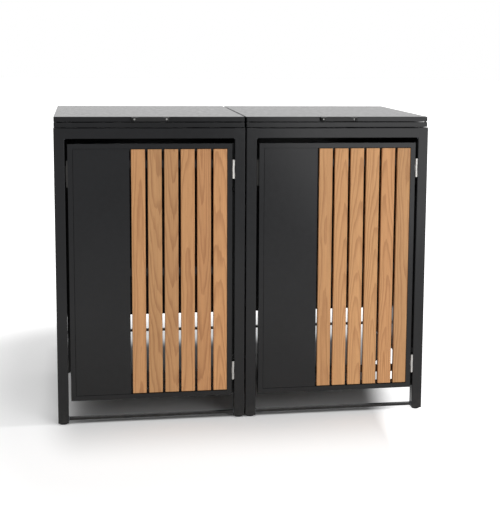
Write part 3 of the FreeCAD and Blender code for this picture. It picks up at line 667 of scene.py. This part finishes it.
def buffer_shape(radius, height, rim):
    """Turned rubber foot: flat rim, raised pad and a hollow in its middle."""
    tree = Shape("lid_buffer", "black_rubber", radius=radius, height=height, rim=rim)
    r, h, rim = tree.inputs
    pad = tree.minus(h, rim)
    body = tree.turned(32, r, tree.times(rim, 0.7), (
        (tree.times(rim, 0.3), 0.96), (0.0, 0.84), (tree.times(pad, 0.75), 0.95),
        (tree.times(pad, 0.25), 0.88), (0.0, 0.5), (tree.times(pad, -0.4), 0.8)))
    return tree.fastening(body, 0.7)


def wiper_shape(radius, height, hole):
    """Cap round the rod where it leaves the strut's tube."""
    tree = Shape("rod_wiper", "black_plastic", radius=radius, height=height, hole=hole)
    r, h, hole = tree.inputs
    mouth = tree.math("DIVIDE", hole, tree.times(r, 0.86))
    cap = tree.turned(32, r, tree.times(h, 0.72), (
        (tree.times(h, 0.18), 0.95), (tree.times(h, 0.10), 0.905),
        (0.0, mouth), (tree.times(h, -0.3), 0.9)))
    return tree.fastening(cap)


def bead_shape(sizes):
    """Rippled bead along every path."""
    tree = Shape("weld_bead", "anthracite_powder_coat", radius=sizes.bead_radius,
                 pitch=sizes.bead_pitch)
    r, pitch = tree.inputs
    curve = tree.add("GeometryNodeMeshToCurve", {0: tree.given[0]})
    curve = tree.add("GeometryNodeResampleCurve", {
        0: curve, "Length": tree.times(pitch, 0.3)}, mode="LENGTH")
    travel = tree.add("GeometryNodeSplineParameter").outputs["Length"]
    wave = tree.math("SINE", tree.math("DIVIDE", tree.times(travel, math.tau), pitch))
    drift = tree.noise(tree.add("GeometryNodeInputPosition"), 160.0)
    swell = tree.plus(tree.times(wave, 0.10), tree.plus(0.75, tree.times(drift, 0.5)))
    curve = tree.add("GeometryNodeSetCurveRadius", {0: curve, "Radius": swell})
    ring = tree.add("GeometryNodeCurvePrimitiveCircle", {"Resolution": 8, "Radius": r})
    bead = tree.add("GeometryNodeCurveToMesh", {0: curve, 1: ring, "Fill Caps": True})
    return tree.finished(tree.add("GeometryNodeSetShadeSmooth", {0: bead}))


class BINSTORE_OT_rivets(bpy.types.Operator):
    """Domed blind rivets that hold the side and rear panels"""

    bl_idname = "binstore.rivets"
    bl_label = "Panel rivets"

    def execute(self, context):
        rivet_shape(context.scene.binstore_fastenings).made(
            "rivet_domes", points(head_places("panel_rivets")), "frame", "black_paint",
            "panel_rivets")
        return {"FINISHED"}


class BINSTORE_OT_screws(bpy.types.Operator):
    """Cross-recess screws of the slats, the handles and the hinge leaves"""

    bl_idname = "binstore.screws"
    bl_label = "Screws"

    handle_inset, handle_seat = 0.011, 0.016
    proud, leaf, rows = 0.0004, 0.002, (-0.026, 0.0, 0.026)
    upright_edge, lid_leaf_edge, tallest_leaf = 0.0075, 0.005, 0.08
    plate_edge, plate_rows = 0.007, (-0.038, 0.038)

    def execute(self, context):
        sizes = context.scene.binstore_fastenings
        recess, steel = sizes.recess_width, "stainless_steel"
        slat_screw = screw_shape("slat_screw", sizes.screw_radius, sizes.screw_height, recess, 0.5)
        handle_screw = screw_shape("handle_screw", sizes.handle_screw_radius,
                                   sizes.handle_screw_height, recess, 0.4, steel)
        leaf_screw = screw_shape("leaf_screw", sizes.leaf_screw_radius,
                                 sizes.leaf_screw_height, recess, 0.5, steel)
        for module in MODULES:
            door, lid = module + "_door", module + "_lid"
            slats = module + "_slat_screws"
            slat_screw.made(module + "_slat_screw_heads", points(head_places(slats)), door,
                            "bright_steel", slats)
            low, high = node_box(module, "lid_handle")
            y = low.y + self.handle_seat - sizes.handle_screw_height
            ends = (low.x + self.handle_inset, high.x - self.handle_inset)
            handle_screw.made(module + "_handle_screws", points([
                ((x, y, (low.z + high.z) / 2.0), FRONT) for x in ends]), lid, steel)
            leaf_screw.made(module + "_door_leaf_screws", points(self.door_leaves(module)),
                            door, steel)
            leaf_screw.made(module + "_lid_leaf_screws", points(self.lid_leaves(
                module + "_lid_hinge_leaves", True)), lid, steel)
        fixed = self.post_leaves() + self.lid_leaves("lid_hinge_frame_leaves", False)
        leaf_screw.made("frame_leaf_screws", points(fixed), "frame", steel)
        return {"FINISHED"}

    def column(self, x, y, z, side):
        """Screws one above the other in an upright hinge leaf."""
        return [((x + side * self.proud, y - self.upright_edge, z + row), (side, 0.0, 0.0))
                for row in self.rows]

    def post_leaves(self):
        places = []
        for low, middle, high in solid_boxes("door_hinge_post_leaves"):
            places += self.column(high.x - self.leaf, high.y, middle.z, -1.0)
        return places

    def door_leaves(self, module):
        """Screws of the door's hinge leaves and of its taller strike plates."""
        places = []
        for low, middle, high in solid_boxes(module + "_door_fittings"):
            if high.z - low.z < self.tallest_leaf:
                places += self.column(low.x + self.leaf, high.y, middle.z, 1.0)
            else:
                x, y = high.x - self.plate_edge, high.y + self.proud
                places += [((x, y, middle.z + row), REAR) for row in self.plate_rows]
        return places

    def lid_leaves(self, name, upper):
        """Screws side by side near one edge of the lid's hinge leaves."""
        places = []
        for low, middle, high in solid_boxes(name):
            y = low.y + self.leaf + self.proud
            z = high.z - self.lid_leaf_edge if upper else low.z + self.lid_leaf_edge
            places += [((middle.x + row, y, z), REAR) for row in self.rows]
        return places


class BINSTORE_OT_buffers(bpy.types.Operator):
    """Turned rubber buffers that the lids rest on"""

    bl_idname = "binstore.buffers"
    bl_label = "Lid buffers"

    def execute(self, context):
        rim = context.scene.binstore_fastenings.buffer_rim
        boxes = solid_boxes("lid_buffers")
        places = sorted(((middle.x, middle.y, low.z), UP) for low, middle, high in boxes)
        size = boxes[0][2] - boxes[0][0]
        buffer_shape(size.x / 2.0, size.z, rim).made(
            "rubber_buffers", points(places), "frame", "black_rubber", "lid_buffers")
        return {"FINISHED"}


class BINSTORE_OT_catches(bpy.types.Operator):
    """Magnetic catches: moulded housing, steel poles and fixing screws"""

    bl_idname = "binstore.catches"
    bl_label = "Magnetic catches"

    poles, pole_height = (-0.22, 0.22), 0.40
    pole_proud, pole_depth, pole_round = 0.0002, 0.004, 0.0003
    screws, screw_proud, screw_height = (-0.33, 0.33), 0.0004, 0.0012

    def execute(self, context):
        sizes = context.scene.binstore_fastenings
        housings, poles, places = bmesh.new(), bmesh.new(), []
        for low, middle, high in solid_boxes("magnetic_catches"):
            rounded_block(housings, low, high, sizes.housing_round, 3)
            size = high - low
            width, height = sizes.pole_width / 2.0, size.z * self.pole_height
            for side in self.poles:
                x = middle.x + side * size.x
                rounded_block(poles, (x - width, low.y - self.pole_proud, middle.z - height),
                              (x + width, low.y + self.pole_depth, middle.z + height),
                              self.pole_round, 1)
            places += [((high.x + self.screw_proud, middle.y, middle.z + row * size.z), RIGHT)
                       for row in self.screws]
        block_piece("catch_housings", housings, "black_plastic", "magnetic_catches", smooth=True)
        block_piece("catch_poles", poles, "bright_steel")
        tree = screw_shape("catch_screw", sizes.leaf_screw_radius, self.screw_height,
                           sizes.recess_width, 0.4)
        tree.made("catch_screws", points(places), "frame", "bright_steel")
        return {"FINISHED"}


class BINSTORE_OT_seals(bpy.types.Operator):
    """Rubber strips behind the hinge side of the doors, with room for the bolt heads"""

    bl_idname = "binstore.seals"
    bl_label = "Door seals"

    clear, thick, rounding = 0.0008, 0.0022, 0.0006
    overlap, bolt_room = 0.003, 0.010

    def execute(self, context):
        work, bolts = bmesh.new(), set()
        for low, middle, high in solid_boxes("joining_bolts"):
            if high.y < 0.0:
                bolts.add(round(middle.z, 4))
        for module in MODULES:
            low, high = node_box(module, "door_frame")
            post = node_box(module, "header_rail")[1].x
            ends = [low.z] + [z + way * self.bolt_room for z in sorted(bolts)
                              for way in (-1.0, 1.0)] + [high.z]
            for bottom, top in zip(ends[::2], ends[1::2]):
                rounded_block(work, (high.x - self.overlap, high.y + self.clear, bottom),
                              (post, high.y + self.clear + self.thick, top), self.rounding, 2)
        block_piece("door_seals", work, "black_rubber")
        return {"FINISHED"}


class BINSTORE_OT_struts(bpy.types.Operator):
    """Caps on the open ends of the gas struts' tubes"""

    bl_idname = "binstore.struts"
    bl_label = "Strut caps"

    rod_radius, rim, sunk = 0.0031, 1.06, 0.6

    def execute(self, context):
        height = context.scene.binstore_fastenings.wiper_height
        along = Vector(next(joint["axis"] for joint in frame["joints"]
                            if joint["type"] == "slide")).normalized()
        for module in MODULES:
            body, places = module + "_strut_cylinders", []
            for part in loose_parts(body):
                reach = max(place.dot(along) for place in part)
                rim = [place for place in part if place.dot(along) > reach - 1e-5]
                end = sum(rim, Vector()) / len(rim)
                radius = max((place - end).length for place in rim)
                end.x = extent(part)[1].x
                places.append((end - along * height * self.sunk, along))
            tree = wiper_shape(radius * self.rim, height, self.rod_radius)
            tree.made(module + "_rod_wipers", points(places), body, "black_plastic")
        return {"FINISHED"}


class BINSTORE_OT_bolts(bpy.types.Operator):
    """Hexagon bolts, nuts and spacer washers that join the modules"""

    bl_idname = "binstore.bolts"
    bl_label = "Joining bolts"

    widest_washer = 0.02

    def execute(self, context):
        left = node_box(MODULES[0], "header_rail")[1].x
        right = node_box(MODULES[1], "header_rail")[0].x
        joint, places, gap = (left + right) / 2.0, set(), 0.0
        for low, middle, high in solid_boxes("joining_bolts"):
            places.add((round(middle.y, 5), round(middle.z, 5)))
            if abs(middle.x - joint) < 1e-4 and high.x - low.x < self.widest_washer:
                gap = high.x - low.x
        if not gap:
            raise RuntimeError("no spacer washer found between the modules")
        tree = bolt_shape(context.scene.binstore_fastenings, right - left, gap)
        sets = points([((joint, y, z), RIGHT) for y, z in sorted(places)])
        tree.made("joining_bolt_sets", sets, "frame", "black_paint", "joining_bolts")
        return {"FINISHED"}


class BINSTORE_OT_welds(bpy.types.Operator):
    """Weld beads in the corners of the frame and round the ties"""

    bl_idname = "binstore.welds"
    bl_label = "Weld beads"

    inset, side_rail_bead = 0.0035, 0.017
    side_tie_bottom, bracket_width = 0.154, 0.036

    def execute(self, context):
        lines = []
        for module in MODULES:
            for name in ("header_rail", "rear_top_rail"):
                lines += self.rail_corners(*node_box(module, name), name == "header_rail")
            for name in ("front_tie_bar", "rear_stop_rail"):
                low, high = node_box(module, name)
                lines += [([(x, low.y, low.z), (x, high.y, low.z), (x, high.y, high.z),
                            (x, low.y, high.z)], True) for x in (low.x, high.x)]
            lines += self.side_beads(module)
        bead_shape(context.scene.binstore_fastenings).made(
            "weld_beads", paths(lines), "frame", "anthracite_powder_coat")
        return {"FINISHED"}

    def side_beads(self, module):
        """Beads round the side ties' ends and beside the strut brackets."""
        low, high = node_box(module, "header_rail")
        rear = node_box(module, "rear_top_rail")[0].y
        tie_low, tie_high = node_box(module, "front_tie_bar")
        tie = tie_high - tie_low
        bottom, top = self.side_tie_bottom, self.side_tie_bottom + tie.z
        pivot = next(joint["pos_m"][1] for joint in frame["joints"]
                     if joint["name"].endswith("strut_pivot"))
        half, lines = self.bracket_width / 2.0, []
        for inner, way in ((low.x, -1.0), (high.x, 1.0)):
            middle = inner + way * (high.y - low.y) / 2.0
            left, right = middle - tie.y / 2.0, middle + tie.y / 2.0
            lines += [([(left, y, top), (left, y, bottom), (right, y, bottom), (right, y, top)],
                       False) for y in (high.y, rear)]
            lines += [([(inner, y, low.z + self.inset), (inner, y, high.z - self.inset)], False)
                      for y in (pivot - half, pivot + half)]
        return lines

    def rail_corners(self, low, high, front):
        """Beads under the rail's ends, up its inner corners and under the side rails."""
        lines, inner = [], high.y if front else low.y
        for x, side in ((low.x, -1.0), (high.x, 1.0)):
            lines += [(line, False) for line in (
                [(x, low.y + self.inset, low.z), (x, high.y - self.inset, low.z)],
                [(x, inner, low.z + self.inset), (x, inner, high.z - self.inset)],
                [(x + side * self.inset, inner, low.z),
                 (x + side * self.side_rail_bead, inner, low.z)])]
        return lines


class BINSTORE_OT_stage(bpy.types.Operator):
    """Pale floor, soft studio light and the camera"""

    bl_idname = "binstore.stage"
    bl_label = "Stage"

    lamp_place, lamp_target, lamp_size = (1.75, -4.2, 1.15), (0.3, -0.4, 0.7), 2.25
    # slant: lean of the edge of the painted light and shadow on the floor's right side
    sky_way, slant = (0.0, -0.55, 0.83), 0.17
    camera_place = (-0.600927, -4.851454, 1.465210)
    camera_turn = (0.182232, -0.138834, 0.011242)
    focal_px, centre_px, photo_px = 1186.3034, (303.0055, 207.4870), (500.0, 515.0)

    def execute(self, context):
        scene, stage = context.scene, context.scene.binstore_stage
        self.floor(stage)
        self.sky(scene, stage)
        self.lamp(scene, stage)
        self.camera(scene)
        scene.view_settings.view_transform = "Standard"
        return {"FINISHED"}

    def floor(self, stage):
        """Floor that shines white in view, except where the store shades it; under and behind the
        store painted shadow darkens its colour and its painted glow fades out.
        """
        bpy.ops.mesh.primitive_plane_add(size=80.0)
        floor = bpy.context.object
        floor.name = "studio_floor"
        pale = Shader("studio_floor")
        speck = pale.noise(pale.place, 40.0, 3.0)
        plain = pale.mix(speck, rgba(stage.floor, 0.99), rgba(stage.floor))
        x, y, z = pale.parts(pale.place)
        # Across the floor, leaning back like the edge of the painted light and shadow on the right
        # side
        slanted = pale.minus(x, pale.times(y, self.slant))
        # Painted light: the floor's glow, seen by camera, glossy and transmission rays, fades out
        # towards the store
        light = self.painted_floor_light(pale, x, y, slanted)
        # Painted shadow: under and behind the store the floor's colour is mixed down to a fifth of
        # its brightness
        dark = self.painted_deep_shadow(pale, x, y, slanted)
        pale.surface(
            Base_Color=pale.mix(dark, plain, rgba(stage.floor, 0.20)),
            Roughness=pale.span(speck, 0.3, 0.7, 0.82, 0.88), Specular_IOR_Level=0.1,
            Emission_Color=WHITE, Emission_Strength=pale.times(self.seen(pale), light))
        floor.data.materials.append(pale.material)

    def painted_floor_light(self, tree, x, y, slanted):
        """Painted light: the floor's glow, 0 under and behind the store, rising to 1 where its
        shadow ends.
        """
        (left, front, bottom), (right, rear, top) = cad_box
        side = tree.minus(tree.math("ABSOLUTE", x), right - 0.10)
        before = tree.times(tree.minus(front, y), 0.42)
        behind = tree.minus(y, rear + 0.35)
        away = tree.vector("MAXIMUM", tree.xyz(side, tree.math("MAXIMUM", before, behind)))
        away = tree.vector("LENGTH", away, out=1)
        fade = tree.plus(tree.span(away, 0.0, 0.20, 0.0, 0.29),
                         tree.span(away, 0.25, 0.88, 0.0, 0.61))
        # Painted light: the glow steps up from just inside the store's front edge forwards
        fade = tree.plus(fade, tree.span(y, front + 0.040, front + 0.020, 0.0, 0.10))
        # Painted light: floor lit along the right side of the store, its edge leaning back by the
        # slant
        painted_lit_side = tree.span(slanted, right - 0.17, right - 0.02, 0.0, 0.9)
        return tree.math("MAXIMUM", fade, painted_lit_side)

    def painted_deep_shadow(self, tree, x, y, slanted):
        """Painted shadow on the floor's colour: 1 under the store and close behind it, 0 where
        light reaches it.
        """
        (left, front, bottom), (right, rear, top) = cad_box
        across = tree.times(tree.span(slanted, right - 0.02, right - 0.12),
                            tree.span(x, left, left + 0.18))
        along = tree.plus(tree.span(y, front + 0.030, front + 0.045, 0.0, 0.35),
                          tree.span(y, front + 0.35, front + 0.52, 0.0, 0.65))
        along = tree.times(along, tree.span(y, rear + 0.60, rear + 0.30))
        return tree.times(across, along)

    def seen(self, tree):
        """1 for camera, glossy and transmission rays, and 0 for the light on the object."""
        rays = tree.add("ShaderNodeLightPath").outputs
        return tree.math("MAXIMUM", rays["Is Camera Ray"], tree.math(
            "MAXIMUM", rays["Is Glossy Ray"], rays["Is Transmission Ray"]))

    def sky(self, scene, stage):
        """Soft light from overhead that fades to the horizon, on a white backdrop."""
        world = bpy.data.worlds.new("studio")
        world.use_nodes = True
        world.node_tree.nodes.clear()
        scene.world = world
        tree = Tree(world.node_tree)
        way = tree.add("ShaderNodeTexCoord").outputs["Generated"]
        brightest = tuple(Vector(self.sky_way).normalized())
        facing = tree.vector("DOT_PRODUCT", way, brightest, out=1)
        light = tree.span(facing, 0.3, 1.0, 0.0, stage.sky)
        seen = self.seen(tree)
        strength = tree.plus(seen, tree.times(tree.minus(1.0, seen), light))
        back = tree.add("ShaderNodeBackground", {"Color": WHITE, "Strength": strength})
        tree.add("ShaderNodeOutputWorld", {"Surface": back})

    def lamp(self, scene, stage):
        """Round softbox in front of the store."""
        data = bpy.data.lights.new("key_light", "AREA")
        data.shape = "DISK"
        data.size = self.lamp_size
        data.energy = stage.key_power
        lamp = bpy.data.objects.new("key_light", data)
        lamp.visible_camera = False
        scene.collection.objects.link(lamp)
        lamp.location = self.lamp_place
        aim = Vector(self.lamp_target) - lamp.location
        lamp.rotation_mode = "QUATERNION"
        lamp.rotation_quaternion = aim.to_track_quat("-Z", "Y")

    def camera(self, scene):
        """Camera at the photo's place, with its framing."""
        yaw, pitch, roll = self.camera_turn
        forward = Vector((math.sin(yaw) * math.cos(pitch), math.cos(yaw) * math.cos(pitch),
                          math.sin(pitch)))
        right = Vector((math.cos(yaw), -math.sin(yaw), 0.0))
        up = right.cross(forward)
        turned = right * math.cos(roll) + up * math.sin(roll)
        risen = up * math.cos(roll) - right * math.sin(roll)
        data = bpy.data.cameras.new("camera")
        data.sensor_width = 36.0
        width_px, height_px = self.photo_px
        data.lens = self.focal_px * data.sensor_width / height_px
        data.shift_x = (width_px / 2.0 - self.centre_px[0]) / height_px
        data.shift_y = (self.centre_px[1] - height_px / 2.0) / height_px
        camera = bpy.data.objects.new("camera", data)
        scene.collection.objects.link(camera)
        turn = Matrix((turned, risen, -forward)).transposed().to_4x4()
        camera.matrix_world = Matrix.Translation(self.camera_place) @ turn
        scene.camera = camera


class BINSTORE_PT_sidebar(bpy.types.Panel):
    bl_idname = "BINSTORE_PT_sidebar"
    bl_label = "Bin store"
    bl_space_type = "VIEW_3D"
    bl_region_type = "UI"
    bl_category = "Bin store"

    def draw(self, context):
        for label in SETTINGS:
            settings = getattr(context.scene, label)
            for name in settings.__annotations__:
                self.layout.prop(settings, name)
        for step in STEPS:
            self.layout.operator(step.bl_idname)


SETTINGS = {
    "binstore_finish": BinStoreFinish,
    "binstore_fastenings": BinStoreFastenings,
    "binstore_stage": BinStoreStage,
}
STEPS = (
    BINSTORE_OT_coat, BINSTORE_OT_timber, BINSTORE_OT_small_parts, BINSTORE_OT_rivets,
    BINSTORE_OT_screws, BINSTORE_OT_buffers, BINSTORE_OT_catches, BINSTORE_OT_seals,
    BINSTORE_OT_struts, BINSTORE_OT_bolts, BINSTORE_OT_welds, BINSTORE_OT_stage,
)
CLASSES = tuple(SETTINGS.values()) + STEPS + (BINSTORE_PT_sidebar,)


def register():
    for kind in CLASSES:
        bpy.utils.register_class(kind)
    for label, kind in SETTINGS.items():
        setattr(bpy.types.Scene, label, PointerProperty(type=kind))


def unregister():
    for label in SETTINGS:
        delattr(bpy.types.Scene, label)
    for kind in reversed(CLASSES):
        bpy.utils.unregister_class(kind)


def main():
    register()
    for step in STEPS:
        group, name = step.bl_idname.split(".")
        getattr(getattr(bpy.ops, group), name)()


if __name__ == "__main__":
    main()
